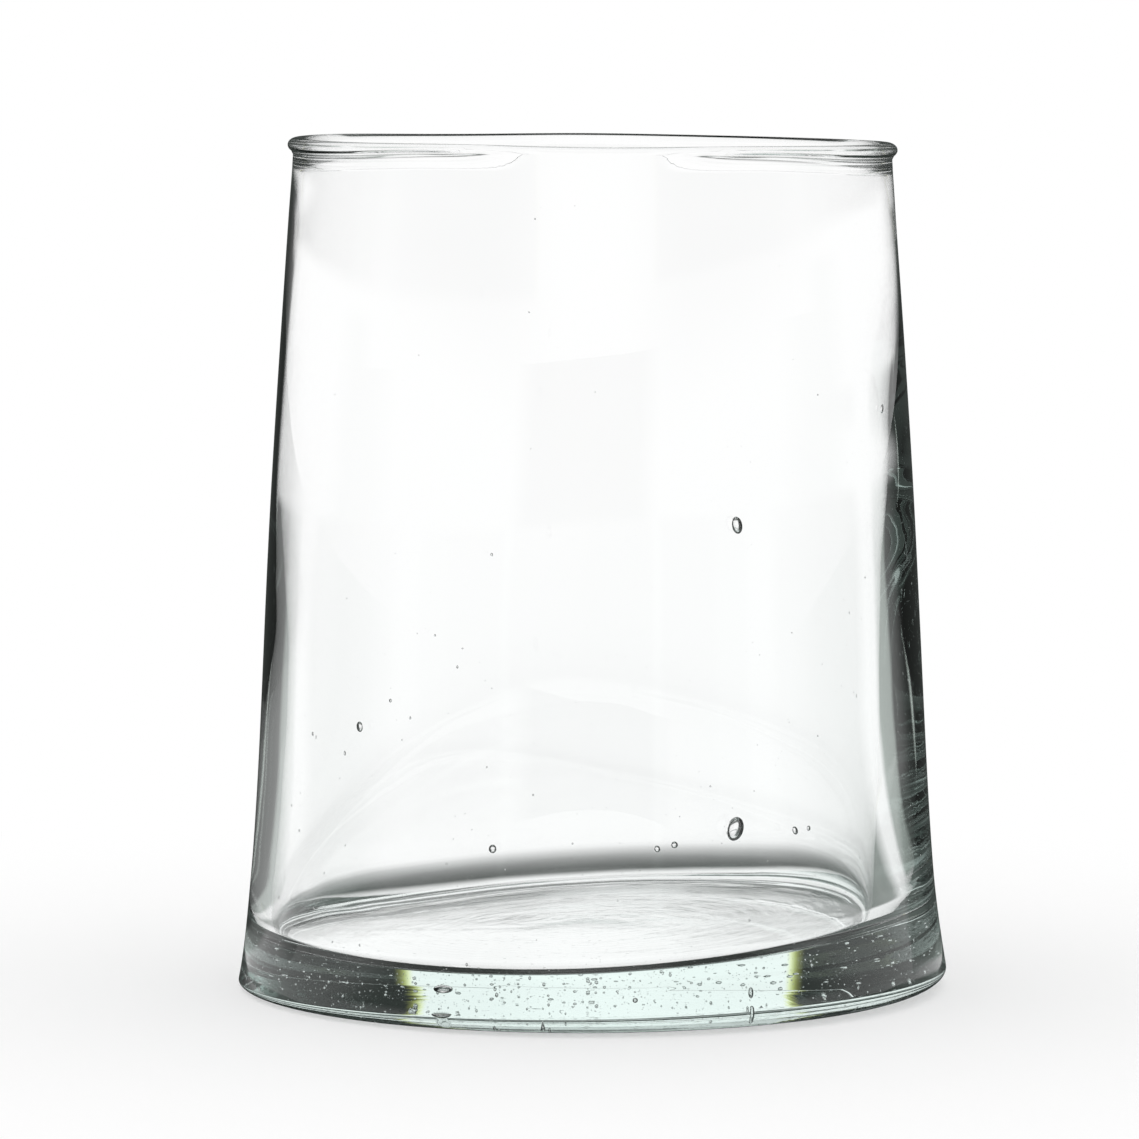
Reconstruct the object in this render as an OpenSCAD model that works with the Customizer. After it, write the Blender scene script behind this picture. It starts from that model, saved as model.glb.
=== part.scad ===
// A mouth-blown tumbler: one piece of clear recycled glass with a thick base, sides that
// taper in to a rolled rim, a hollow that leans inside the outside, and bubbles in the wall.
// Millimetres. The table is z = 0, and the axis of the outside is Z.

/* [Outside] */
// Height from the table to the top of the rim
glass_h = 100; // [85:1:120]
// Widest diameter, just above the table
base_d = 83.6; // [78:0.2:90]
// Diameter over the rolled rim
rim_d = 71.4; // [67:0.2:76]
// How far the foot flares out past the straight taper
flare = 2.4; // [0:0.1:3.2]
// Height over which the flare dies away
flare_h = 15; // [8:1:24]
// How far the side swells past the straight taper at half height
belly = 0.9; // [0:0.1:1.8]
// Width of the rounded heel between the side and the foot
heel_w = 3.1; // [2:0.1:4.5]
// Height of the rounded heel
heel_h = 1.5; // [1:0.1:4]

/* [Rim] */
// Height of the fire-polished roll at the rim
roll_h = 1.8; // [1.4:0.1:2.2]
// Width of the roll, measured across the wall
roll_w = 2.4; // [2.2:0.1:3]
// How far the roll stands out past the wall under it
roll_lip = 0.7; // [0.3:0.1:0.9]

/* [Wall] */
// Thickness of the wall just under the rim
neck_wall = 1.2; // [1:0.1:1.6]
// Thickness of the wall at its thinnest
waist_wall = 0.8; // [0.6:0.1:1.4]
// Thickness of the wall at the floor
heel_wall = 5.6; // [4:0.1:7]
// Height of the thinnest place, as a share of the glass's height
waist_share = 0.8; // [0.7:0.01:0.85]
// Power of the curve along which the wall thins toward the waist
thinning_power = 1.25; // [1:0.05:1.6]
// Lean of the hollow in degrees, toward -X as it goes down
hollow_lean = 1.2; // [0:0.1:1.3]
// Height where the hollow's axis crosses the outside's, as a share of the glass's height
crossing_share = 0.82; // [0.75:0.01:0.9]

/* [Floor] */
// Thickness of the glass in the middle of the floor
floor_h = 6.5; // [5.5:0.1:9]
// Slope of the floor in degrees, up toward +X, where the glass pooled
floor_slope = 2.6; // [0:0.1:3]
// Height of the floor's low crown
floor_crown = 0.2; // [0:0.1:1]
// Radius of the curve that carries the floor up into the wall
floor_fillet = 3; // [2:0.1:5]
// How far that curve runs on into the wall before the hollow's side cuts it
fillet_reach = 0.9; // [0.7:0.1:1.2]

/* [Underside] */
// Width of the flat ring that the glass stands on
foot_w = 5.2; // [3:0.1:8]
// Depth of the shallow push-up inside that ring
push_up_h = 0.6; // [0.4:0.1:1.2]
// Diameter of the scar left where the glass was broken off the iron
scar_d = 17; // [12:1:24]
// Depth of the scar's rounded edge
scar_h = 0.3; // [0.1:0.1:0.6]

/* [Bubbles] */
// Diameter of the largest bubble in the wall
bubble_d = 2.2; // [1:0.1:2.4]

/* [Hidden] */

// Overrun of every cut, and the smoothness of round shapes
cut = 1;
round_fn = 128;
ball_fn = 24;
side_steps = 40;
arc_steps = 10;
under_steps = 16;

neck_z = glass_h - roll_h;
neck_r = rim_d / 2 - roll_lip;
roll_z = glass_h - roll_h / 2;
push_up_d = base_d - 2 * (heel_w + foot_w);
waist_z = glass_h * waist_share;
crossing_z = glass_h * crossing_share;

// The heel turns past the vertical until it meets the flare
heel_over = atan(heel_h / heel_w * (flare / flare_h + (base_d - rim_d) / (2 * glass_h)));
side_z = heel_h * (1 + sin(heel_over));
side_base_r = base_d / 2 - heel_w * (1 - cos(heel_over));

// Azimuth, height as a share of the glass's height, and size as a share of bubble_d.
// Azimuth 0 is +X, and the front of the glass faces -Y.
BUBBLES = [
    [-65, 0.23, 1],
    [-105, 0.20, 0.45],
    [-129, 0.34, 0.4],
    [-60, 0.28, 0.4],
    [-84, 0.26, 0.35],
    [-32, 0.42, 0.5],
    [28, 0.36, 0.6],
    [75, 0.19, 0.5],
    [118, 0.30, 0.45],
    [160, 0.24, 0.4],
    [-12, 0.16, 0.55]
];

function mix(from, to, share) = from + (to - from) * share;

// Radius of the outside at height z: a straight taper, a swelling and a flared foot
function side_r(z) =
    let (share = (z - side_z) / (neck_z - side_z))
    mix(side_base_r - flare, neck_r, share)
    + belly * sin(180 * share)
    + flare * exp(-(z - side_z) / flare_h);

// Thickness of the wall at height z, before the hollow leans
function wall_t(z) =
    waist_wall
    + (heel_wall - waist_wall)
        * pow(max(0, (waist_z - z) / (waist_z - floor_h)), thinning_power)
    + (neck_wall - waist_wall) * pow(max(0, (z - waist_z) / (neck_z - waist_z)), 2);

function hollow_r(z) = side_r(z) - wall_t(z);

// Sideways place of the hollow's axis at height z
function hollow_x(z) = (z - crossing_z) * tan(hollow_lean);

// Height of the underside at radius r: the push-up's dome with the scar sunk into it
function under_z(r) =
    push_up_h * (1 - pow(2 * r / push_up_d, 2))
    + (2 * r < scar_d ? scar_h * sqrt(1 - pow(2 * r / scar_d, 2)) : 0);

module outside() {
    under = [for (i = [0 : under_steps]) let (r = scar_d / 2 * sin(90 * i / under_steps)) [r, under_z(r)]];
    dome = [for (i = [1 : under_steps]) let (r = mix(scar_d, push_up_d, i / under_steps) / 2) [r, under_z(r)]];
    heel = [
        for (i = [0 : arc_steps])
            let (turn = mix(-90, heel_over, i / arc_steps))
            [base_d / 2 - heel_w + heel_w * cos(turn), heel_h + heel_h * sin(turn)]
    ];
    side = [for (i = [1 : side_steps]) let (z = mix(side_z, roll_z, i / side_steps)) [side_r(z), z]];
    rotate_extrude($fn = round_fn)
        polygon(concat(under, dome, heel, side, [[0, roll_z]]));
}

// The hollow's side, which leans as it goes down and runs on below the floor
module hollow_side() {
    side = [for (i = [0 : side_steps]) let (z = mix(side_z, roll_z + cut, i / side_steps)) [hollow_r(z), z]];
    translate([0, 0, crossing_z])
        rotate([0, hollow_lean, 0])
            translate([0, 0, -crossing_z])
                rotate_extrude($fn = round_fn)
                    polygon(concat([[0, side_z]], side, [[0, roll_z + cut]]));
}

// Everything above the sloping floor, with the curve that turns up into the wall. Above that
// curve it is wider than the glass, so its slope leaves the hollow's side alone.
module above_floor() {
    reach_r = hollow_r(floor_h + floor_fillet) + fillet_reach;
    flat_r = reach_r - floor_fillet;
    crown = [
        for (i = [0 : arc_steps])
            let (share = i / arc_steps)
            [flat_r * share, floor_crown * (1 + cos(180 * share)) / 2]
    ];
    fillet = [
        for (i = [1 : arc_steps])
            let (turn = mix(-90, 0, i / arc_steps))
            [flat_r + floor_fillet * cos(turn), floor_fillet + floor_fillet * sin(turn)]
    ];
    translate([hollow_x(floor_h), 0, floor_h])
        rotate([0, -floor_slope, 0])
            rotate_extrude($fn = round_fn)
                polygon(concat(
                    crown,
                    fillet,
                    [[base_d, floor_fillet], [base_d, glass_h + cut], [0, glass_h + cut]]
                ));
}

module hollow() {
    intersection() {
        hollow_side();
        above_floor();
    }
}

// The rim melted back on itself: a ring with a stadium-shaped section
module rim_roll() {
    outer_r = (rim_d - roll_h) / 2;
    inner_r = outer_r - (roll_w - roll_h);
    rotate_extrude($fn = round_fn)
        translate([0, roll_z]) {
            translate([outer_r, 0])
                circle(d = roll_h, $fn = ball_fn * 2);
            translate([inner_r, 0])
                circle(d = roll_h, $fn = ball_fn * 2);
            translate([inner_r, -roll_h / 2])
                square([outer_r - inner_r, roll_h]);
        }
}

// A bubble halfway through the wall at one azimuth and height
module bubble(azimuth, z, d) {
    middle_r = side_r(z) - (wall_t(z) - hollow_x(z) * cos(azimuth)) / 2;
    rotate([0, 0, azimuth])
        translate([middle_r, 0, z])
            sphere(d = d, $fn = ball_fn);
}

module glass_body() {
    color([0.86, 0.94, 0.91, 0.45]) {
        difference() {
            outside();
            hollow();
            for (b = BUBBLES)
                bubble(b[0], b[1] * glass_h, b[2] * bubble_d);
        }
        rim_roll();
    }
}

glass_body();
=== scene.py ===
"""A mouth-blown tumbler in recycled glass: the glass itself with its bubbles, and a white studio."""
import math

import bmesh
import bpy
import numpy as np
from mathutils import Matrix, Vector


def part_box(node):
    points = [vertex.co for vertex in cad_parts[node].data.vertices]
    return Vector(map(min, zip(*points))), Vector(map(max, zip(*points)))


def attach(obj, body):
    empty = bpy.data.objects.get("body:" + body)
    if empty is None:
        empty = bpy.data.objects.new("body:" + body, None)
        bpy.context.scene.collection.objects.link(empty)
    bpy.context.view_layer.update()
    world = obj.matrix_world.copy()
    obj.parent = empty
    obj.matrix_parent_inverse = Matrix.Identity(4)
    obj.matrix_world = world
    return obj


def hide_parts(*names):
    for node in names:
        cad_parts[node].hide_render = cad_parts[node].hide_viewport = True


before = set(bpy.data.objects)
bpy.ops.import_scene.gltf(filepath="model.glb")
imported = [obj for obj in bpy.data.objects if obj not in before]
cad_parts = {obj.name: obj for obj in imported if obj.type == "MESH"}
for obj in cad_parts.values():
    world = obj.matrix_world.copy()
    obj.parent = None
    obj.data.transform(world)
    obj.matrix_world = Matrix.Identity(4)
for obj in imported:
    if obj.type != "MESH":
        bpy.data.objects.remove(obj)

bl_info = {
    "name": "Blown Tumbler",
    "version": (1, 0, 0),
    "blender": (4, 5, 0),
    "location": "3D View > Sidebar > Tumbler",
    "description": "Builds a mouth-blown glass tumbler with bubbles, and the studio it stands in",
    "category": "Object",
}

MM = 0.001
LOW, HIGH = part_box("glass_body")
GLASS_HEIGHT = HIGH.z - LOW.z
BASE_RADIUS = (HIGH.x - LOW.x) / 2

# Wall thickness as (share of the height, millimetres), from the floor to the rim
THICK_SIDE = [
    (0.05, 7.2), (0.10, 6.5), (0.16, 5.9), (0.22, 5.4), (0.30, 4.9), (0.38, 4.5), (0.48, 3.7),
    (0.57, 2.7), (0.67, 2.0), (0.76, 1.2), (0.86, 0.8), (0.92, 0.8), (0.96, 0.9), (1.00, 1.0),
]
THIN_SIDE = [
    (0.05, 3.6), (0.10, 3.3), (0.16, 3.3), (0.22, 3.3), (0.30, 3.2), (0.38, 2.8), (0.48, 1.9),
    (0.57, 1.2), (0.67, 0.9), (0.76, 0.7), (0.86, 0.8), (0.92, 1.0), (0.96, 1.1), (1.00, 1.2),
]

# Large bubbles: azimuth in degrees (0 is +X, the front is -90), share of the height,
# width and length in millimetres, and lean in degrees
LARGE_BUBBLES = [
    (-65, 0.227, 2.0, 2.8, -18),
    (-64, 0.570, 1.3, 2.0, 12),
    (-107, 0.207, 0.9, 1.0, 0),
    (-79, 0.208, 0.7, 0.8, 20),
    (-76, 0.212, 0.8, 0.8, 0),
    (-53, 0.220, 0.7, 1.0, 25),
    (-50, 0.221, 0.5, 0.6, 0),
    (-134, 0.335, 0.9, 1.2, 10),
    (-25, 0.690, 0.7, 1.1, -20),
    (-115, 0.046, 2.3, 0.9, 0),
    (-115, 0.018, 2.4, 0.4, 0),
    (-98, 0.014, 0.5, 0.9, 0),
    (-83, 0.038, 0.6, 0.6, 0),
    (-63, 0.040, 0.6, 1.3, 0),
    (-63, 0.022, 0.5, 0.8, 10),
    (-106, 0.012, 0.4, 0.8, 0),
]

# Distance from the axis where the foot's edge ends and the floor beside it starts
SKIRT = 43 * MM
WHITE = (1, 1, 1, 1)
# Painted shade on the floor near the foot, which only rays through the glass see
PAINTED_FLOOR_SHADE = (0.03, 0.04, 0.035, 1)
DIM_CEILING = (0.12, 0.13, 0.125, 1)
# Rings of points along each stretch of the section, and points in each ring
RINGS = {"under": 34, "heel": 14, "side": 62, "roll": 29, "hollow": 60, "fillet": 14, "floor": 42}
TURNS = 240
# The yellow-green fringe at a window's edge, outward from the white
FRINGE = [(0.9, 0.92, 0.6, 1), (0.5, 0.53, 0.2, 1), (0.2, 0.2, 0.07, 1)]


class GlassShape(bpy.types.PropertyGroup):
    """Sizes of the glass"""

    height: bpy.props.FloatProperty(
        name="Height", description="From the table to the top of the rim",
        default=GLASS_HEIGHT, unit="LENGTH",
    )
    base_radius: bpy.props.FloatProperty(
        name="Base radius", description="Widest radius, just above the table",
        default=BASE_RADIUS, unit="LENGTH",
    )
    rim_radius: bpy.props.FloatProperty(
        name="Rim radius", description="Radius over the rolled rim", default=35.7 * MM, unit="LENGTH"
    )
    roll_height: bpy.props.FloatProperty(
        name="Roll height", description="Height of the fire-polished roll",
        default=1.8 * MM, unit="LENGTH",
    )
    roll_width: bpy.props.FloatProperty(
        name="Roll width", description="Width of the roll across the wall",
        default=2.4 * MM, unit="LENGTH",
    )
    roll_lip: bpy.props.FloatProperty(
        name="Roll lip", description="How far the roll stands out past the wall",
        default=0.7 * MM, unit="LENGTH",
    )
    flare: bpy.props.FloatProperty(
        name="Flare", description="How far the foot flares past the taper",
        default=2.4 * MM, unit="LENGTH",
    )
    flare_height: bpy.props.FloatProperty(
        name="Flare height", description="Height over which the flare dies away",
        default=15 * MM, unit="LENGTH",
    )
    belly: bpy.props.FloatProperty(
        name="Belly", description="Swelling of the side at half height", default=0.9 * MM, unit="LENGTH"
    )
    heel_width: bpy.props.FloatProperty(
        name="Heel width", description="Width of the rounding between side and foot",
        default=3.1 * MM, unit="LENGTH",
    )
    heel_height: bpy.props.FloatProperty(
        name="Heel height", description="Height of that rounding", default=1.5 * MM, unit="LENGTH"
    )
    floor_height: bpy.props.FloatProperty(
        name="Floor", description="Thickness of the floor in the middle",
        default=6.1 * MM, unit="LENGTH",
    )
    floor_slope: bpy.props.FloatProperty(
        name="Floor slope", description="Slope of the floor in the middle",
        default=math.radians(2.1), unit="ROTATION",
    )
    floor_sag: bpy.props.FloatProperty(
        name="Floor sag", description="How far the middle sags below both sides",
        default=1.2 * MM, unit="LENGTH",
    )
    floor_turn: bpy.props.FloatProperty(
        name="Floor turn", description="Azimuth that the floor rises to",
        default=math.radians(-2), unit="ROTATION",
    )
    floor_fillet: bpy.props.FloatProperty(
        name="Floor fillet", description="Curve between floor and wall, in front",
        default=2.0 * MM, unit="LENGTH",
    )
    back_fillet: bpy.props.FloatProperty(
        name="Back fillet", description="The same curve at the back", default=4.5 * MM, unit="LENGTH"
    )
    foot_width: bpy.props.FloatProperty(
        name="Foot ring", description="Width of the ring it stands on", default=5.2 * MM, unit="LENGTH"
    )
    push_up: bpy.props.FloatProperty(
        name="Push-up", description="Depth of the hollow under the foot",
        default=0.12 * MM, unit="LENGTH",
    )
    scar_radius: bpy.props.FloatProperty(
        name="Scar radius", description="Radius of the scar under the foot",
        default=8.5 * MM, unit="LENGTH",
    )
    scar_depth: bpy.props.FloatProperty(
        name="Scar depth", description="Depth of the scar", default=0.04 * MM, unit="LENGTH"
    )


class HandMarks(bpy.types.PropertyGroup):
    """How uneven the hand work left the glass"""

    rim_tilt: bpy.props.FloatProperty(
        name="Rim tilt", description="Fall of the rim toward +X",
        default=math.radians(0.5), unit="ROTATION",
    )
    heel_drift: bpy.props.FloatProperty(
        name="Heel drift", description="How much rounder the heel is on one side, as a share",
        default=0.7,
    )
    heel_turn: bpy.props.FloatProperty(
        name="Heel turn", description="Azimuth of the roundest heel",
        default=math.radians(-45), unit="ROTATION",
    )
    rim_wave: bpy.props.FloatProperty(
        name="Rim wave", description="Height of the rim's waves", default=0.12 * MM, unit="LENGTH"
    )
    side_wave: bpy.props.FloatProperty(
        name="Side wave", description="Unevenness of the outside", default=0.06 * MM, unit="LENGTH"
    )
    wall_wave: bpy.props.FloatProperty(
        name="Wall wave", description="Unevenness of the hollow's side",
        default=0.05 * MM, unit="LENGTH",
    )
    floor_wrinkle: bpy.props.FloatProperty(
        name="Floor wrinkles", description="Depth of the wrinkles in the floor",
        default=0.009 * MM, unit="LENGTH",
    )
    under_wrinkle: bpy.props.FloatProperty(
        name="Foot wrinkles", description="Depth of the wrinkles under the foot",
        default=0.008 * MM, unit="LENGTH",
    )


class BubbleCloud(bpy.types.PropertyGroup):
    """Small bubbles left in the glass"""

    crowd: bpy.props.FloatProperty(
        name="Crowd", description="Bubbles per square metre of the base", default=3.4e5
    )
    smallest: bpy.props.FloatProperty(
        name="Smallest", description="Radius of the smallest bubble", default=0.04 * MM, unit="LENGTH"
    )
    largest: bpy.props.FloatProperty(
        name="Largest", description="Radius of the largest small bubble",
        default=0.22 * MM, unit="LENGTH",
    )
    seed: bpy.props.IntProperty(name="Seed", description="Order of the random draws", default=7)


class GlassLook(bpy.types.PropertyGroup):
    """The glass as a material"""

    tint: bpy.props.FloatVectorProperty(
        name="Tint", description="Colour of light after the tint depth", subtype="COLOR", size=3,
        default=(0.84, 0.985, 0.945),
    )
    tint_depth: bpy.props.FloatProperty(
        name="Tint depth", description="Depth of glass that gives the tint", default=0.1, unit="LENGTH"
    )
    ior: bpy.props.FloatProperty(name="IOR", description="Index of refraction", default=1.52)
    ripple: bpy.props.FloatProperty(
        name="Ripple", description="Depth of the ripples in the walls",
        default=0.006 * MM, unit="LENGTH",
    )
    streak: bpy.props.FloatProperty(
        name="Streaks", description="Depth of the fine streaks in the floor",
        default=0.032 * MM, unit="LENGTH",
    )


class WhiteStudio(bpy.types.PropertyGroup):
    """Camera, floor and light"""

    camera_distance: bpy.props.FloatProperty(
        name="Camera distance", description="Level distance from the glass's axis",
        default=0.7734, unit="LENGTH",
    )
    camera_height: bpy.props.FloatProperty(
        name="Camera height", description="Height of the camera over the table",
        default=0.1167, unit="LENGTH",
    )
    lens: bpy.props.FloatProperty(name="Lens", description="Focal length in millimetres", default=208.5)
    aim: bpy.props.FloatVectorProperty(
        name="Aim", description="Point the camera looks at", size=3, subtype="TRANSLATION",
        default=(-2.7 * MM, 0.0, 49.1 * MM),
    )
    floor_radius: bpy.props.FloatProperty(
        name="Floor radius", description="Radius of the white floor", default=3.0, unit="LENGTH"
    )
    floor_gap: bpy.props.FloatProperty(
        name="Floor gap", description="Air between the foot and the floor, so that the foot mirrors light",
        default=0.03 * MM, unit="LENGTH",
    )
    window: bpy.props.FloatProperty(
        name="Window", description="Half width of the windows in front and behind",
        default=math.radians(22.9), unit="ROTATION",
    )
    side_window: bpy.props.FloatProperty(
        name="Side window", description="Half width of the windows at the sides",
        default=math.radians(11), unit="ROTATION",
    )
    ceiling: bpy.props.FloatProperty(
        name="Ceiling", description="Height where the dim ceiling starts",
        default=math.radians(20), unit="ROTATION",
    )
    skylight: bpy.props.FloatProperty(
        name="Skylight", description="Height where the dim ceiling ends",
        default=math.radians(66), unit="ROTATION",
    )
    dim_reach: bpy.props.FloatProperty(
        name="Dim reach", description="How far the rim's light may travel to a dim floor",
        default=0.175, unit="LENGTH",
    )
    flag_low: bpy.props.FloatProperty(
        name="Flag foot", description="Height of the dark flags' lower edge",
        default=math.radians(4), unit="ROTATION",
    )
    flag_top: bpy.props.FloatProperty(
        name="Flag top", description="Height of the dark flags' tops",
        default=math.radians(11), unit="ROTATION",
    )
    flag_glow: bpy.props.FloatProperty(
        name="Flag glow", description="Brightness of the dark flags that the base shows", default=0.025
    )
    wall_glow: bpy.props.FloatProperty(
        name="Wall glow", description="Brightness of the floor that the sides' walls show",
        default=0.045,
    )
    wing_glow: bpy.props.FloatProperty(
        name="Wing glow", description="Brightness of the room at the left and right", default=0.25
    )
    outline_glow: bpy.props.FloatProperty(
        name="Outline glow", description="Brightness of the floor's far end at the outline",
        default=0.06,
    )
    skin_glow: bpy.props.FloatProperty(
        name="Skin glow", description="Brightness of what the base's outer skin mirrors", default=0.3
    )
    trapped_glow: bpy.props.FloatProperty(
        name="Trapped glow", description="Brightness of light that was mirrored many times",
        default=0.065,
    )
    ceiling_lift: bpy.props.FloatProperty(
        name="Ceiling lift", description="How much higher it starts for rays that the glass mirrored",
        default=math.radians(22), unit="ROTATION",
    )
    left_lift: bpy.props.FloatProperty(
        name="Left lift", description="Share of white in what the left wall shows", default=0.25
    )
    front_lift: bpy.props.FloatProperty(
        name="Front lift", description="Share of white in what lies in front", default=0.5
    )
    skew: bpy.props.FloatProperty(
        name="Skew", description="How far the windows are turned toward the left, as a slope",
        default=0.019,
    )
    shade_reach: bpy.props.FloatProperty(
        name="Shade reach", description="Distance from the axis where the foot's shade ends",
        default=0.11, unit="LENGTH",
    )
    mirror_reach: bpy.props.FloatProperty(
        name="Mirror reach", description="Distance from the axis where the floor stops mirroring",
        default=0.058, unit="LENGTH",
    )
    mirror_more: bpy.props.FloatProperty(
        name="Mirror more", description="How much farther it mirrors rays that were mirrored before",
        default=0.017, unit="LENGTH",
    )


def settings():
    return bpy.context.scene.tumbler


def mix(start, end, share):
    return start + (end - start) * share


def smooth(low, high, value):
    """A smooth step: 0 up to low, and 1 from high on."""
    share = np.clip((value - low) / (high - low), 0, 1)
    return share * share * (3 - 2 * share)


def waves(points, size, seed):
    """Soft noise from -1 to 1 at each point, with waves of about the given size along each axis."""
    grid = points / np.array(size)
    cell = np.floor(grid).astype(int)
    share = grid - cell
    share = share * share * (3 - 2 * share)
    values = np.random.default_rng(seed).uniform(-1, 1, 4096)
    total = 0
    for corner in np.ndindex(2, 2, 2):
        weight = np.where(corner, share, 1 - share).prod(-1)
        total = total + weight * values[(cell + corner) @ (1, 157, 2503) % 4096]
    return total


def curve(table, share):
    """A smooth curve through (share, millimetres) pairs, in metres."""
    x = np.array([row[0] for row in table])
    y = np.array([row[1] for row in table]) * MM
    slope = np.gradient(y, x)
    share = np.clip(share, x[0], x[-1])
    i = np.clip(np.searchsorted(x, share) - 1, 0, len(x) - 2)
    step = x[i + 1] - x[i]
    t = (share - x[i]) / step
    return (
        (1 + 2 * t) * (1 - t) ** 2 * y[i] + t * (1 - t) ** 2 * step * slope[i]
        + t * t * (3 - 2 * t) * y[i + 1] + t * t * (t - 1) * step * slope[i + 1]
    )


class GlassForm:
    """The surfaces of the glass as functions of azimuth and height, all in metres."""

    def __init__(self, shape, marks):
        self.s = shape
        self.m = marks
        self.neck_z = shape.height - shape.roll_height
        self.neck_r = shape.rim_radius - shape.roll_lip
        taper = (shape.base_radius - shape.rim_radius) / shape.height
        lean = shape.flare / shape.flare_height + taper
        self.heel_over = math.atan(shape.heel_height / shape.heel_width * lean)
        self.side_z = shape.heel_height * (1 + math.sin(self.heel_over))
        self.side_base_r = shape.base_radius - shape.heel_width * (1 - math.cos(self.heel_over))

    def side(self, z):
        """Radius of the outside, before the unevenness."""
        s = self.s
        share = (z - self.side_z) / (self.neck_z - self.side_z)
        return (
            mix(self.side_base_r - s.flare, self.neck_r, share)
            + s.belly * np.sin(math.pi * np.clip(share, 0, 1))
            + s.flare * np.exp(-(z - self.side_z) / s.flare_height)
        )

    def wall(self, azimuth, z):
        """Thickness of the wall, thickest toward +X."""
        share = z / self.s.height
        toward = (1 + np.cos(azimuth)) / 2
        return mix(curve(THIN_SIDE, share), curve(THICK_SIDE, share), toward)

    def hollow(self, azimuth, z):
        """Radius of the hollow's side, with the unevenness, which fades out under the rim."""
        radius = self.side(z) - self.wall(azimuth, z)
        around = np.stack([np.cos(azimuth) * radius, np.sin(azimuth) * radius, z], -1)
        uneven = waves(around, (14 * MM, 14 * MM, 22 * MM), 3)
        uneven = uneven + 0.15 * waves(around, (4 * MM, 4 * MM, 30 * MM), 4)
        fade = 1 - smooth(0.90, 0.97, z / self.s.height)
        return radius + self.m.wall_wave * uneven * fade

    def floor_plane(self, x, y):
        """Height of the floor without its wrinkles: a slope that sags in the middle."""
        s = self.s
        along = x * math.cos(s.floor_turn) + y * math.sin(s.floor_turn)
        return s.floor_height + along * math.tan(s.floor_slope) + s.floor_sag * (along / s.rim_radius) ** 2

    def heel(self, azimuth):
        """Size of the heel's rounding all round, as a share of its mean size."""
        return 1 + self.m.heel_drift * np.cos(azimuth - self.m.heel_turn)

    def floor(self, x, y):
        """Height of the hollow's floor, with wrinkles round its middle and finer ones across it."""
        r = np.hypot(x, y)
        azimuth = np.arctan2(y, x)
        rings = np.stack([r, np.cos(azimuth) * 6 * MM, np.sin(azimuth) * 6 * MM], -1)
        wrinkles = waves(rings, (2.2 * MM, 5 * MM, 5 * MM), 5) + 0.7 * waves(
            np.stack([x, y, 0 * x], -1), (9 * MM, 2.6 * MM, 1), 6
        )
        calm = smooth(0, 4 * MM, r)
        return self.floor_plane(x, y) + self.m.floor_wrinkle * wrinkles * calm

    def under(self, x, y):
        """Height of the underside inside the foot ring."""
        s = self.s
        push_r = s.base_radius - s.heel_width - s.foot_width
        r = np.hypot(x, y)
        dome = s.push_up * np.clip(1 - (r / push_r) ** 2, 0, 1) ** 2
        scar = s.scar_depth * np.sqrt(np.clip(1 - (r / s.scar_radius) ** 2, 0, 1))
        wrinkles = waves(np.stack([x, y, 0 * x], -1), (8 * MM, 3 * MM, 1), 8)
        return dome + scar + self.m.under_wrinkle * wrinkles * smooth(0, 0.6 * MM, dome)


class Rings:
    """Rings of points all round the glass, one after another."""

    def __init__(self, turns):
        self.azimuth = np.linspace(0, 2 * math.pi, turns, endpoint=False)
        self.cos, self.sin = np.cos(self.azimuth), np.sin(self.azimuth)
        self.rows = []

    def add(self, radius, z):
        radius, z = [np.broadcast_to(value, self.azimuth.shape) for value in (radius, z)]
        self.rows.append(np.stack([radius * self.cos, radius * self.sin, z], -1))


class RimRoll:
    """The roll at each azimuth: full on the left and right, melted into the wall in front and behind."""

    def __init__(self, form, azimuth):
        s = form.s
        beside, behind = np.abs(np.cos(azimuth)), smooth(-0.2, 0.2, np.sin(azimuth))
        # Behind, the roll comes in nearer the left and right than it does in front
        self.lip = smooth(mix(0.2, 0.84, behind), mix(0.55, 1.0, behind), beside)
        self.height = s.roll_height * mix(mix(0.62, 1, smooth(0.5, 1, beside)), 0.95, behind)
        self.z = s.height - self.height / 2
        self.outer_r = form.side(self.z) + s.roll_lip * self.lip
        self.width = mix(form.wall(azimuth, self.z), s.roll_width, self.lip)
        # Height of a second, lower bulge under the roll
        self.second = mix(0.03, 0.16, self.lip * beside) * (1 - behind * (1 - self.lip)) * MM


def add_foot(rings, form):
    """The underside, the flat ring that the glass stands on, and the heel."""
    s = form.s
    heel = form.heel(rings.azimuth)
    foot_r = s.base_radius - s.heel_width * heel
    push_r = s.base_radius - s.heel_width - s.foot_width
    for r in np.linspace(0.02, 1, RINGS["under"]) * push_r:
        rings.add(r, form.under(r * rings.cos, r * rings.sin))
    for share in (0.08, 0.5, 0.92):
        rings.add(mix(push_r, foot_r, share), 0)
    for turn in np.linspace(-math.pi / 2, form.heel_over, RINGS["heel"]):
        r = foot_r + s.heel_width * heel * math.cos(turn)
        rings.add(r, s.heel_height * heel * (1 + math.sin(turn)))


def add_side(rings, form, roll):
    """The outside from the heel up to the roll."""
    s, m = form.s, form.m
    heel = form.heel(rings.azimuth)
    heel_top = s.heel_height * heel * (1 + math.sin(form.heel_over))
    heel_edge = s.base_radius - s.heel_width * heel * (1 - math.cos(form.heel_over))
    side_top = roll.z - roll.height * 0.62
    second_z = s.height - 1.35 * s.roll_height
    for share in np.linspace(0, 1, RINGS["side"])[1:] ** 1.1:
        z = mix(heel_top, side_top, share)
        r = form.side(z)
        around = np.stack([rings.cos * r, rings.sin * r, z], -1)
        uneven = waves(around, (18 * MM, 18 * MM, 26 * MM), 1)
        fade = smooth(0, 0.12, z / s.height) * (1 - smooth(0.90, 0.96, z / s.height))
        bulge = roll.second * np.exp(-(((z - second_z) / (0.35 * MM)) ** 2))
        # The heel's own edge settles into the side's curve
        from_heel = heel_edge + (r - form.side(heel_top))
        settle = 1 - smooth(0, 0.12, share)
        rings.add(mix(r + m.side_wave * uneven * fade + bulge, from_heel, settle), z)


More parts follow.
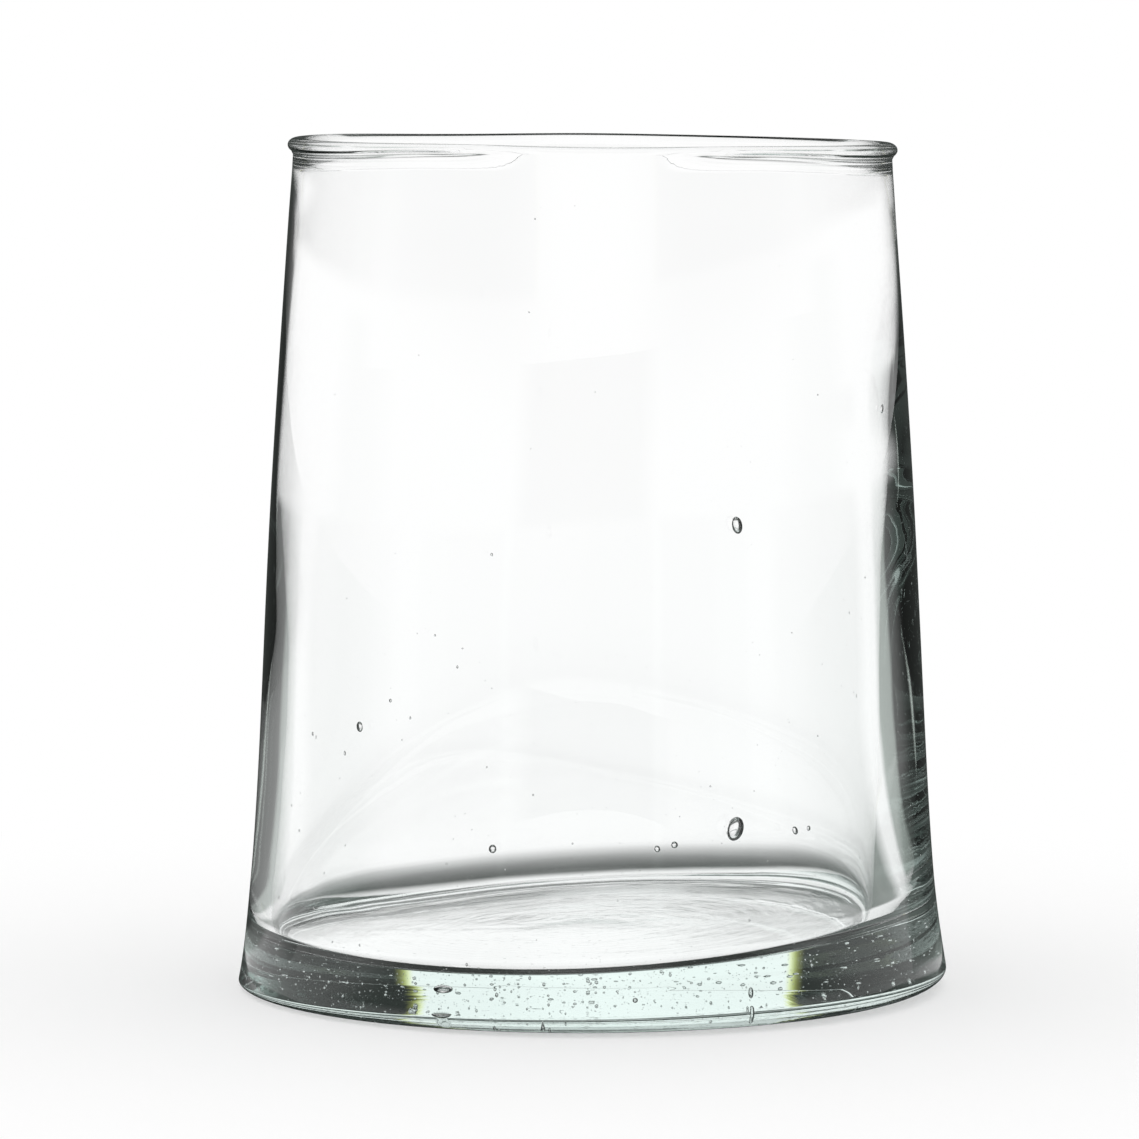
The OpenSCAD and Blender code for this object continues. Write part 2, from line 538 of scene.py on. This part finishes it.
def add_roll(rings, roll):
    """Over the rim, with straight sides where the roll melts into the wall."""
    for turn in np.linspace(math.radians(-48), math.radians(222), RINGS["roll"]):
        reach = math.cos(turn)
        if turn < 0 or turn > math.pi:
            reach = mix(math.copysign(1, reach), reach, roll.lip)
        rings.add(roll.outer_r - roll.width / 2 * (1 - reach), roll.z + roll.height / 2 * math.sin(turn))


def add_hollow(rings, form, roll):
    """The hollow's side, the curve into the floor, which differs all round, and the floor."""
    s = form.s
    azimuth, cos, sin = rings.azimuth, rings.cos, rings.sin
    fillet = mix(s.floor_fillet, s.back_fillet, smooth(-0.2, 0.7, sin))
    wall_r = form.hollow(azimuth, s.floor_height + fillet)
    top = roll.z - roll.height * 0.75
    end = form.floor(wall_r * cos, wall_r * sin) + fillet
    for share in np.linspace(0, 1, RINGS["hollow"]):
        z = mix(top, end, share)
        rings.add(form.hollow(azimuth, z), z)
    bend_r = form.hollow(azimuth, end) - fillet
    bend_z = form.floor(bend_r * cos, bend_r * sin) + fillet
    for turn in np.linspace(0, -math.pi / 2, RINGS["fillet"])[1:]:
        share = -turn / (math.pi / 2)
        rings.add(bend_r + fillet * math.cos(turn), mix(end, bend_z, share) + fillet * math.sin(turn))
    for share in np.linspace(0, 0.985, RINGS["floor"])[1:]:
        r = bend_r * (1 - share)
        rings.add(r, form.floor(r * cos, r * sin))


def glass_rows(form, turns):
    """Rings of points from the middle of the underside, over the rim, to the middle of the floor."""
    rings = Rings(turns)
    roll = RimRoll(form, rings.azimuth)
    add_foot(rings, form)
    add_side(rings, form, roll)
    add_roll(rings, roll)
    add_hollow(rings, form, roll)
    return rings.rows


def lean_rim(points, form):
    """Tilts and waves the rim, which leaves the top of the glass no higher than the frame's box."""
    s, m = form.s, form.m
    x, y, z = points[..., 0], points[..., 1], points[..., 2]
    azimuth = np.arctan2(y, x)
    circle = np.stack([np.cos(azimuth), np.sin(azimuth), 0 * azimuth], -1)
    wave = waves(circle, (0.5, 0.5, 1), 9) - 1
    fall = (x + s.rim_radius) * math.tan(m.rim_tilt) - m.rim_wave * wave
    points[..., 2] = z - fall * smooth(0.55, 1.0, z / s.height)
    return points


def lathe_mesh(form, turns):
    """The whole surface of the glass, inside and out, as one closed mesh."""
    rows = lean_rim(np.stack(glass_rows(form, turns)), form)
    count = len(rows)
    first = Vector(rows[0].mean(0))
    last = Vector(rows[-1].mean(0))
    mesh = bmesh.new()
    grid = [[mesh.verts.new(p) for p in row] for row in rows]
    start, end = mesh.verts.new(first), mesh.verts.new(last)
    for i in range(turns):
        j = (i + 1) % turns
        mesh.faces.new((start, grid[0][j], grid[0][i]))
        mesh.faces.new((end, grid[-1][i], grid[-1][j]))
        for k in range(count - 1):
            mesh.faces.new((grid[k][i], grid[k][j], grid[k + 1][j], grid[k + 1][i]))
    bmesh.ops.recalc_face_normals(mesh, faces=mesh.faces)
    for face in mesh.faces:
        face.smooth = True
    return mesh


def middle_mesh(form, turns=72):
    """The surface halfway through the glass that bubbles are scattered on, with the room on each side."""
    s = form.s
    azimuth = np.linspace(0, 2 * math.pi, turns, endpoint=False)
    cos, sin = np.cos(azimuth), np.sin(azimuth)
    rows, rooms, crowds = [], [], []
    reach = s.base_radius - 1.3 * s.heel_width
    for r in np.linspace(0.04, 1, 16) * reach:
        x, y = r * cos, r * sin
        z = form.floor_plane(x, y)
        rows.append(np.stack([x, y, mix(s.push_up, z, 0.5)], -1))
        rooms.append((z - s.push_up) / 2)
        crowds.append(np.full(turns, 1.0))
    for z in np.linspace(0.09, 0.95, 30) * s.height:
        wall = form.wall(azimuth, np.full(turns, z))
        r = form.side(z) - wall / 2
        rows.append(np.stack([r * cos, r * sin, np.full(turns, z)], -1))
        rooms.append(wall / 2)
        # The wall holds far fewer bubbles than the base, and fewest in its upper half
        crowds.append(np.full(turns, mix(0.09, 0.008, smooth(0.1, 0.6, z / s.height))))
    mesh = bpy.data.meshes.new("bubble_surface")
    points = np.concatenate(rows)
    count = len(rows)
    faces = [
        (k * turns + i, k * turns + (i + 1) % turns, (k + 1) * turns + (i + 1) % turns, (k + 1) * turns + i)
        for k in range(count - 1)
        for i in range(turns)
    ]
    mesh.from_pydata([tuple(p) for p in points], [], faces)
    for name, values in (("room", rooms), ("crowd", crowds)):
        attribute = mesh.attributes.new(name, "FLOAT", "POINT")
        attribute.data.foreach_set("value", np.concatenate(values).astype(np.float32))
    return mesh


class Socket:
    """An output of a shader or geometry tree that takes part in sums as a number does."""

    def __init__(self, tree, out):
        self.tree = tree
        self.out = out

    def sum(self, operation, *others):
        return self.tree.math(operation, self, *others)

    def __add__(self, other):
        return self.sum("ADD", other)

    __radd__ = __add__

    def __sub__(self, other):
        return self.sum("SUBTRACT", other)

    def __rsub__(self, other):
        return self.tree.math("SUBTRACT", other, self)

    def __mul__(self, other):
        return self.sum("MULTIPLY", other)

    __rmul__ = __mul__

    def __truediv__(self, other):
        return self.sum("DIVIDE", other)

    def __pow__(self, other):
        return self.sum("POWER", other)


class Tree:
    """A node tree whose nodes all come from one method."""

    def __init__(self, tree):
        self.tree = tree
        self.nodes = tree.nodes
        self.nodes.clear()

    def node(self, kind, settings=None, sockets=None):
        """A node of one type: its settings first, then the values or links of its sockets."""
        made = self.nodes.new(kind)
        for key, value in (settings or {}).items():
            if key == "stops":
                self.set_ramp(made.color_ramp, value)
            else:
                setattr(made, key, value)
        for key, value in (sockets or {}).items():
            self.feed(made.inputs[key], value)
        return made

    def feed(self, socket, value):
        if isinstance(value, Socket):
            self.tree.links.new(value.out, socket)
        elif isinstance(value, bpy.types.NodeSocket):
            self.tree.links.new(value, socket)
        else:
            socket.default_value = value

    def set_ramp(self, ramp, stops):
        while len(ramp.elements) < len(stops):
            ramp.elements.new(0.5)
        for element, (place, colour) in zip(ramp.elements, stops):
            element.position = place
            element.color = colour

    def out(self, kind, output=0, settings=None, sockets=None):
        return Socket(self, self.node(kind, settings, sockets).outputs[output])

    def math(self, operation, *values):
        return self.out("ShaderNodeMath", 0, {"operation": operation}, dict(enumerate(values)))

    def smooth(self, low, high, value):
        return self.out(
            "ShaderNodeMapRange", 0, {"interpolation_type": "SMOOTHSTEP"},
            {"Value": value, "From Min": low, "From Max": high, "To Min": 0.0, "To Max": 1.0},
        )

    def blend(self, share, first, second):
        """A colour between two colours."""
        return self.out("ShaderNodeMix", 2, {"data_type": "RGBA"}, {0: share, 6: first, 7: second})


def bubble_tree(material):
    """Geometry Nodes that scatter bubbles through the glass, each turned inside out as a hollow is."""
    group = bpy.data.node_groups.new("scatter_bubbles", "GeometryNodeTree")
    face = group.interface
    face.new_socket("Middle surface", in_out="INPUT", socket_type="NodeSocketGeometry")
    for name, kind in (
        ("Crowd", "NodeSocketFloat"),
        ("Smallest", "NodeSocketFloat"),
        ("Largest", "NodeSocketFloat"),
        ("Seed", "NodeSocketInt"),
    ):
        face.new_socket(name, in_out="INPUT", socket_type=kind)
    face.new_socket("Bubbles", in_out="OUTPUT", socket_type="NodeSocketGeometry")
    t = Tree(group)
    given = t.node("NodeGroupInput")
    inputs = {o.name: Socket(t, o) for o in given.outputs if o.name}

    def field(name):
        return t.out("GeometryNodeInputNamedAttribute", 0, {"data_type": "FLOAT"}, {"Name": name})

    def draw(low, high, step):
        node = t.node(
            "FunctionNodeRandomValue", {"data_type": "FLOAT"},
            {2: low, 3: high, "Seed": inputs["Seed"] + step},
        )
        return Socket(t, node.outputs[1])

    density = field("crowd") * inputs["Crowd"]
    scatter = t.node(
        "GeometryNodeDistributePointsOnFaces", {"distribute_method": "RANDOM"},
        {"Mesh": inputs["Middle surface"], "Density": density, "Seed": inputs["Seed"]},
    )
    spread = draw(0.0, 1.0, 1) ** 6.0
    radius = inputs["Smallest"] + spread * (inputs["Largest"] - inputs["Smallest"])
    radius = t.math("MINIMUM", radius, field("room") * 0.55)
    depth = draw(-1.0, 1.0, 2) * (field("room") * 0.92 - radius * 1.6)
    offset = t.node(
        "ShaderNodeVectorMath", {"operation": "SCALE"},
        {0: Socket(t, scatter.outputs["Normal"]), "Scale": depth},
    )
    moved = t.node(
        "GeometryNodeSetPosition", None,
        {"Geometry": scatter.outputs["Points"], "Offset": offset.outputs[0]},
    )
    ball = t.node("GeometryNodeMeshIcoSphere", None, {"Subdivisions": 1, "Radius": 1.0})
    rounded = t.node("GeometryNodeSetShadeSmooth", None, {"Geometry": ball.outputs["Mesh"]})
    stretch = t.node(
        "ShaderNodeCombineXYZ", None,
        {0: radius, 1: radius, 2: radius * draw(0.8, 1.5, 3)},
    )
    placed = t.node(
        "GeometryNodeInstanceOnPoints", None,
        {
            "Points": moved.outputs[0],
            "Instance": rounded.outputs[0],
            "Rotation": t.out("FunctionNodeRandomValue", 0, {"data_type": "FLOAT_VECTOR"}, {
                0: (-0.3, -0.3, 0.0), 1: (0.3, 0.3, 6.28), "Seed": inputs["Seed"] + 4,
            }),
            "Scale": stretch.outputs[0],
        },
    )
    real = t.node("GeometryNodeRealizeInstances", None, {"Geometry": placed.outputs[0]})
    inward = t.node("GeometryNodeFlipFaces", None, {"Mesh": real.outputs[0]})
    finish = t.node(
        "GeometryNodeSetMaterial", None, {"Geometry": inward.outputs[0], "Material": material}
    )
    t.node("NodeGroupOutput", None, {"Bubbles": finish.outputs[0]})
    return group


def scattered_bubbles(form, cloud, material):
    """The small bubbles as one plain mesh."""
    holder = bpy.data.objects.new("bubble_surface", middle_mesh(form))
    bpy.context.scene.collection.objects.link(holder)
    modifier = holder.modifiers.new("bubbles", "NODES")
    modifier.node_group = bubble_tree(material)
    values = {key.title(): getattr(cloud, key) for key in BubbleCloud.__annotations__}
    for item in modifier.node_group.interface.items_tree:
        if item.in_out == "INPUT" and item.name in values:
            modifier[item.identifier] = values[item.name]
    holder.update_tag()
    graph = bpy.context.evaluated_depsgraph_get()
    mesh = bpy.data.meshes.new_from_object(holder.evaluated_get(graph))
    holder.modifiers.remove(modifier)
    surface = holder.data
    bpy.data.objects.remove(holder)
    bpy.data.meshes.remove(surface)
    return mesh


def inner_ball(rings=15, turns=24):
    """Points and faces of a ball of radius 1 whose faces look inward, as a hollow's do."""
    points = [Vector((0, 0, 1))]
    for polar in np.linspace(0, math.pi, rings + 2)[1:-1]:
        for turn in np.linspace(0, 2 * math.pi, turns, endpoint=False):
            level = math.sin(polar)
            points.append(Vector((level * math.cos(turn), level * math.sin(turn), math.cos(polar))))
    points.append(Vector((0, 0, -1)))
    last = len(points) - 1
    faces = []
    for j in range(turns):
        k = (j + 1) % turns
        faces.append((0, 1 + k, 1 + j))
        for upper in range(1, last - turns, turns):
            lower = upper + turns
            faces.append((upper + j, upper + k, lower + k, lower + j))
        faces.append((last, last - turns + j, last - turns + k))
    return points, faces


def large_bubbles(form):
    """Large bubbles halfway through the wall as one plain mesh."""
    ball, ball_faces = inner_ball()
    points, faces = [], []
    for azimuth, share, width, length, lean in LARGE_BUBBLES:
        angle = math.radians(azimuth)
        z = share * form.s.height
        wall = float(form.wall(np.array(angle), np.array(z)))
        middle_r = float(form.side(z)) - wall / 2
        depth = min(width * MM, 0.7 * wall)
        place = (
            Matrix.Rotation(angle, 4, "Z")
            @ Matrix.Translation((middle_r, 0, z))
            @ Matrix.Rotation(math.radians(lean), 4, "X")
            @ Matrix.Diagonal((depth / 2, width * MM / 2, length * MM / 2, 1))
        )
        faces += [[len(points) + corner for corner in face] for face in ball_faces]
        points += [place @ point for point in ball]
    mesh = bpy.data.meshes.new("large_bubbles")
    mesh.from_pydata(points, [], faces)
    return mesh


def glass_material(look):
    """Clear glass with its tint in the depth, ripples in the walls and streaks in the floor."""
    material = bpy.data.materials.new("seeded_glass")
    material.use_nodes = True
    t = Tree(material.node_tree)
    place = t.out("ShaderNodeTexCoord", "Object")
    split = t.node("ShaderNodeSeparateXYZ", None, {0: place})
    x, y, z = [Socket(t, o) for o in split.outputs]
    r = (x * x + y * y + 1e-8) ** 0.5
    upright = t.out("ShaderNodeCombineXYZ", 0, None, {0: x * 90, 1: y * 90, 2: z * 30})
    ripple = t.out("ShaderNodeTexNoise", 0, None, {"Vector": upright, "Scale": 1.0, "Detail": 1.0})
    # Streaks run round the hollow's floor, as the glass was spun
    round_it = t.out("ShaderNodeCombineXYZ", 0, None, {0: r * 700, 1: x / r * 3.5, 2: y / r * 3.5})
    streak = t.out("ShaderNodeTexNoise", 0, None, {"Vector": round_it, "Scale": 1.0, "Detail": 2.5})
    on_floor = t.smooth(3 * MM, 4 * MM, z) * (1 - t.smooth(11 * MM, 13 * MM, z))
    on_floor = on_floor * t.smooth(1 * MM, 6 * MM, r) * (1 - t.smooth(36 * MM, 37 * MM, r))
    height = ripple * look.ripple + streak * look.streak * on_floor
    bump = t.node("ShaderNodeBump", None, {"Strength": 1.0, "Distance": 1.0, "Height": height})
    glass = t.node(
        "ShaderNodeBsdfPrincipled", None,
        {
            "Base Color": (1, 1, 1, 1),
            "Roughness": 0.0,
            "IOR": look.ior,
            "Transmission Weight": 1.0,
            "Normal": bump.outputs[0],
        },
    )
    inside = t.node(
        "ShaderNodeVolumeAbsorption", None,
        {
            "Color": (*[1 + math.log(c) for c in look.tint], 1),
            "Density": 1 / look.tint_depth,
        },
    )
    t.node(
        "ShaderNodeOutputMaterial", None, {"Surface": glass.outputs[0], "Volume": inside.outputs[0]}
    )
    return material


class TUMBLER_OT_glass(bpy.types.Operator):
    """Builds the glass with its bubbles, in place of the plain body"""

    bl_idname = "tumbler.glass"
    bl_label = "Blow the glass"

    def execute(self, context):
        s = settings()
        form = GlassForm(s.shape, s.marks)
        material = glass_material(s.look)
        mesh = lathe_mesh(form, TURNS)
        for bubbles in (large_bubbles(form), scattered_bubbles(form, s.bubbles, material)):
            mesh.from_mesh(bubbles)
            bpy.data.meshes.remove(bubbles)
        for face in mesh.faces:
            face.smooth = True
            face.material_index = 0
        data = bpy.data.meshes.new("blown_glass")
        mesh.to_mesh(data)
        mesh.free()
        data.materials.clear()
        data.materials.append(material)
        glass = bpy.data.objects.new("blown_glass", data)
        context.scene.collection.objects.link(glass)
        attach(glass, "root")
        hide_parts("glass_body")
        return {"FINISHED"}


def grey(level):
    """A grey with the faint green of a dim room seen through glass."""
    return (level * 0.9, level, level * 0.94, 1)


def all_round(t, x, y, stops):
    """A colour by the angle from the Y axis, with stops in degrees from 0 to 90."""
    turn = t.math("ARCTAN2", t.math("ABSOLUTE", x), t.math("ABSOLUTE", y)) / (math.pi / 2)
    stops = [(angle / 90, colour) for angle, colour in stops]
    return t.out("ShaderNodeValToRGB", 0, {"stops": stops}, {0: turn})


def windows(t, x, y, studio):
    """White windows in front and behind, dark flags beside them, and grey at the sides."""
    edge = math.degrees(studio.window)
    side = 90 - math.degrees(studio.side_window)
    flag, wing = grey(studio.flag_glow), grey(studio.wing_glow)
    fringe = [(edge - 0.4 + 0.6 * i, colour) for i, colour in enumerate(FRINGE)]
    return all_round(t, x + studio.skew * y, y, [
        (0, WHITE), (edge - 1, WHITE), *fringe, (edge + 1.8, flag),
        (side - 3, flag), (side + 3, wing), (90, wing),
    ])


def painted_far_floor(t, x, y, studio):
    """Painted shade and light for the far end of the floor, which the walls show as a dark outline high up.
    """
    dark, dim = grey(studio.outline_glow), grey(0.6)
    return all_round(t, x, y, [(0, dark), (20, dark), (27, WHITE), (72, WHITE), (84, dim), (90, dim)])


def painted_floor_bands(t, x, y, studio):
    """Painted light and shade on the floor that the walls show low down: dark, with a bright line, a grey
    strip and a white one.
    """
    dark = grey(studio.wall_glow)
    return all_round(t, x, y, [
        (0, dark), (23, dark), (25, grey(0.9)), (26, grey(0.9)), (28, dark), (45, dark),
        (48, grey(0.4)), (57, grey(0.45)), (60, WHITE), (66, WHITE), (72, grey(0.3)), (90, grey(0.2)),
    ])


class Ray:
    """What befell a ray before it got here, each as a share from 0 to 1, and how far it came."""

    def __init__(self, t):
        light = t.node("ShaderNodeLightPath")
        names = ("Transmission Depth", "Glossy Depth", "Diffuse Depth", "Is Camera Ray", "Ray Length")
        through, mirrored, scattered, self.direct, self.travel = [
            Socket(t, light.outputs[name]) for name in names
        ]
        clean = t.math("LESS_THAN", scattered, 0.5)
        shallow = t.math("LESS_THAN", through, 3.5) * clean
        self.touched = t.math("GREATER_THAN", through + mirrored, 0.5) * clean
        self.entered = t.math("GREATER_THAN", through, 0.5)
        # A ray straight through the whole glass crosses four surfaces; one mirrored in it crosses fewer
        self.bent = t.math("GREATER_THAN", mirrored, 0.5) * shallow
        self.lensed = self.touched * shallow * (1 - self.bent)
        self.twice = t.math("GREATER_THAN", mirrored, 1.5)
        self.deep = t.math("GREATER_THAN", mirrored, 2.5)
        self.trapped = t.smooth(3.0, 6.0, mirrored) * clean


def painted_floor_flags(t, x, y, away, ray, studio):
    """The painted light and shade of the floor for rays that the glass mirrored: dark flags, bands and a
    dark outline.
    """
    flags = painted_floor_bands(t, x, y, studio)
    flags = t.blend(studio.left_lift * t.smooth(-10 * MM, 10 * MM, 0 - x), flags, WHITE)
    flags = t.blend(studio.front_lift * t.smooth(0, 0.1, 0 - y), flags, WHITE)
    flags = t.blend(t.smooth(0.3, 0.4, away), flags, painted_far_floor(t, x, y, studio))
    flags = t.blend((1 - ray.entered) * t.smooth(0.5, 0.75, y / away), flags, grey(studio.outline_glow))
    return t.blend(t.smooth(SKIRT, SKIRT + 2 * MM, away), grey(studio.flag_glow), flags)


def floor_material(studio):
    """White paint with the glass's shadow for the eye, and a glow with painted shade, bands and flags for
    what the glass shows of the floor.
    """
    material = bpy.data.materials.new("white_floor")
    material.use_nodes = True
    material.cycles.emission_sampling = "NONE"
    t = Tree(material.node_tree)
    place = t.out("ShaderNodeTexCoord", "Object")
    away = t.out("ShaderNodeVectorMath", "Value", {"operation": "LENGTH"}, {0: place})
    split = t.node("ShaderNodeSeparateXYZ", None, {0: place})
    x, y = Socket(t, split.outputs[0]), Socket(t, split.outputs[1])
    ray = Ray(t)
    # Painted shade: for rays through the glass the floor glows dim close to the foot, and as far out as the
    # rim shows it
    beside = t.smooth(SKIRT, SKIRT + 4 * MM, away)
    foot = beside * (1 - t.smooth(SKIRT - 1 * MM, studio.shade_reach, away)) ** 2.6
    rim = ray.lensed * beside * (1 - t.smooth(studio.dim_reach * 0.85, studio.dim_reach, ray.travel))
    dim = t.blend(t.math("MAXIMUM", foot, rim), WHITE, PAINTED_FLOOR_SHADE)
    # Painted light and shade: mirrored rays see flags and bands, and light mirrored many times sees a
    # painted dim grey
    seen = t.blend(ray.bent, dim, painted_floor_flags(t, x, y, away, ray, studio))
    seen = t.blend(0.4 * ray.trapped, seen, grey(studio.trapped_glow))
    seen = t.blend(ray.direct, seen, WHITE)
    # Away from the glass the floor shines white to the eye, and near it the paint takes its shadow
    far = 0.35 + 0.65 * t.smooth(0.05, 0.16, away)
    paint = t.node("ShaderNodeBsdfDiffuse", None, {"Color": (0.97, 0.97, 0.97, 1)})
    shine = t.node("ShaderNodeEmission", None, {"Color": seen, "Strength": 1.0})
    share = t.math("MAXIMUM", ray.touched, far * ray.direct)
    both = t.node("ShaderNodeMixShader", None, {0: share, 1: paint.outputs[0], 2: shine.outputs[0]})
    # Beside the foot it mirrors what the thick base sends down, so the base shows the windows again
    mirror = t.node("ShaderNodeBsdfGlossy", None, {"Color": WHITE, "Roughness": 0.0})
    reach = studio.mirror_reach + studio.mirror_more * ray.twice
    close = ray.bent * t.smooth(SKIRT - 0.5 * MM, SKIRT + 0.5 * MM, away)
    close = close * (1 - t.smooth(reach, reach + 5 * MM, away))
    glossy = t.node("ShaderNodeMixShader", None, {0: close, 1: both.outputs[0], 2: mirror.outputs[0]})
    t.node("ShaderNodeOutputMaterial", None, {"Surface": glossy.outputs[0]})
    return material


def studio_world(studio):
    """White all round for the eye and the floor; windows, flags and a dim ceiling for bent light."""
    world = bpy.data.worlds.new("white_studio")
    world.use_nodes = True
    t = Tree(world.node_tree)
    way = t.out("ShaderNodeTexCoord", "Generated")
    split = t.node("ShaderNodeSeparateXYZ", None, {0: way})
    x, y, z = [Socket(t, o) for o in split.outputs]
    height = t.math("ARCSINE", z)
    ray = Ray(t)
    flags = t.blend(studio.front_lift * t.smooth(-0.1, 0.1, 0 - y), windows(t, x, y, studio), WHITE)
    foot, top, rise = studio.flag_low, studio.flag_top, math.radians(2)
    between = t.smooth(foot, foot + rise, height) * (1 - t.smooth(top, top + 3 * rise, height))
    between = t.math("MAXIMUM", between, ray.deep)
    colour = t.blend(ray.bent * ray.entered * between, WHITE, flags)
    # Low bent rays toward the back see the far floor's painted shade and light
    level = ray.bent * ray.entered * (1 - t.smooth(rise, 2 * rise, height))
    level = level * (1 - ray.deep) * t.smooth(-0.1, 0.1, y)
    colour = t.blend(level, colour, painted_far_floor(t, x, y, studio))
    # The outer skin mirrors something dim at the sides of the base, and something dark at the outline
    skin = ray.bent * (1 - ray.entered)
    beside = t.smooth(0.15, 0.6, t.math("ABSOLUTE", x)) * t.smooth(1.5 * rise, 3 * rise, height)
    colour = t.blend(skin * beside, colour, grey(studio.skin_glow))
    colour = t.blend(skin * t.smooth(0.75, 0.97, y), colour, grey(0.08))
    ceiling = studio.ceiling + studio.ceiling_lift * ray.bent
    overhead = t.smooth(ceiling, ceiling + 6 * rise, height)
    overhead = overhead * (1 - t.smooth(studio.skylight, studio.skylight + 4 * rise, height))
    colour = t.blend(overhead * ray.touched, colour, DIM_CEILING)
    low = 1 - t.smooth(math.radians(30), math.radians(45), height)
    colour = t.blend(ray.trapped * low, colour, grey(studio.trapped_glow))
    back = t.node("ShaderNodeBackground", None, {"Color": colour, "Strength": 1.0})
    t.node("ShaderNodeOutputWorld", None, {"Surface": back.outputs[0]})
    return world


class TUMBLER_OT_stage(bpy.types.Operator):
    """Makes the camera, the white floor and the studio's light"""

    bl_idname = "tumbler.stage"
    bl_label = "Set the stage"

    def execute(self, context):
        studio = settings().studio
        scene = context.scene
        data = bpy.data.cameras.new("camera")
        data.lens = studio.lens
        data.sensor_width = 36
        camera = bpy.data.objects.new("camera", data)
        camera.location = (0, -studio.camera_distance, studio.camera_height)
        toward = Vector(studio.aim) - camera.location
        camera.rotation_mode = "QUATERNION"
        camera.rotation_quaternion = toward.to_track_quat("-Z", "Y")
        scene.collection.objects.link(camera)
        scene.camera = camera
        mesh = bmesh.new()
        bmesh.ops.create_circle(mesh, cap_ends=True, segments=64, radius=studio.floor_radius)
        floor_mesh = bpy.data.meshes.new("floor")
        mesh.to_mesh(floor_mesh)
        mesh.free()
        floor_mesh.materials.append(floor_material(studio))
        floor = bpy.data.objects.new("floor", floor_mesh)
        floor.location.z = -studio.floor_gap
        scene.collection.objects.link(floor)
        scene.world = studio_world(studio)
        scene.view_settings.view_transform = "Standard"
        scene.cycles.max_bounces = 32
        scene.cycles.transmission_bounces = 24
        scene.cycles.glossy_bounces = 16
        return {"FINISHED"}


class TumblerSettings(bpy.types.PropertyGroup):
    """All settings of the tumbler and its stage"""

    shape: bpy.props.PointerProperty(type=GlassShape, name="Shape", description="Sizes of the glass")
    marks: bpy.props.PointerProperty(type=HandMarks, name="Hand marks", description="Unevenness")
    bubbles: bpy.props.PointerProperty(type=BubbleCloud, name="Bubbles", description="Small bubbles")
    look: bpy.props.PointerProperty(type=GlassLook, name="Look", description="The glass as a material")
    studio: bpy.props.PointerProperty(type=WhiteStudio, name="Studio", description="Camera and light")


class TUMBLER_PT_panel(bpy.types.Panel):
    """Lists the settings and the steps in order"""

    bl_idname = "TUMBLER_PT_panel"
    bl_label = "Tumbler"
    bl_space_type = "VIEW_3D"
    bl_region_type = "UI"
    bl_category = "Tumbler"

    def draw(self, context):
        layout = self.layout
        for name in ("shape", "marks", "bubbles", "look", "studio"):
            group = getattr(context.scene.tumbler, name)
            box = layout.box()
            box.label(text=name.title())
            for key in group.__annotations__:
                box.prop(group, key)
        layout.operator("tumbler.glass")
        layout.operator("tumbler.stage")


CLASSES = (
    GlassShape, HandMarks, BubbleCloud, GlassLook, WhiteStudio, TumblerSettings,
    TUMBLER_OT_glass, TUMBLER_OT_stage, TUMBLER_PT_panel,
)


def register():
    for cls in CLASSES:
        bpy.utils.register_class(cls)
    bpy.types.Scene.tumbler = bpy.props.PointerProperty(type=TumblerSettings)


def unregister():
    del bpy.types.Scene.tumbler
    for cls in reversed(CLASSES):
        bpy.utils.unregister_class(cls)


def main():
    register()
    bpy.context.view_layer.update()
    bpy.ops.tumbler.glass()
    bpy.ops.tumbler.stage()


if __name__ == "__main__":
    main()
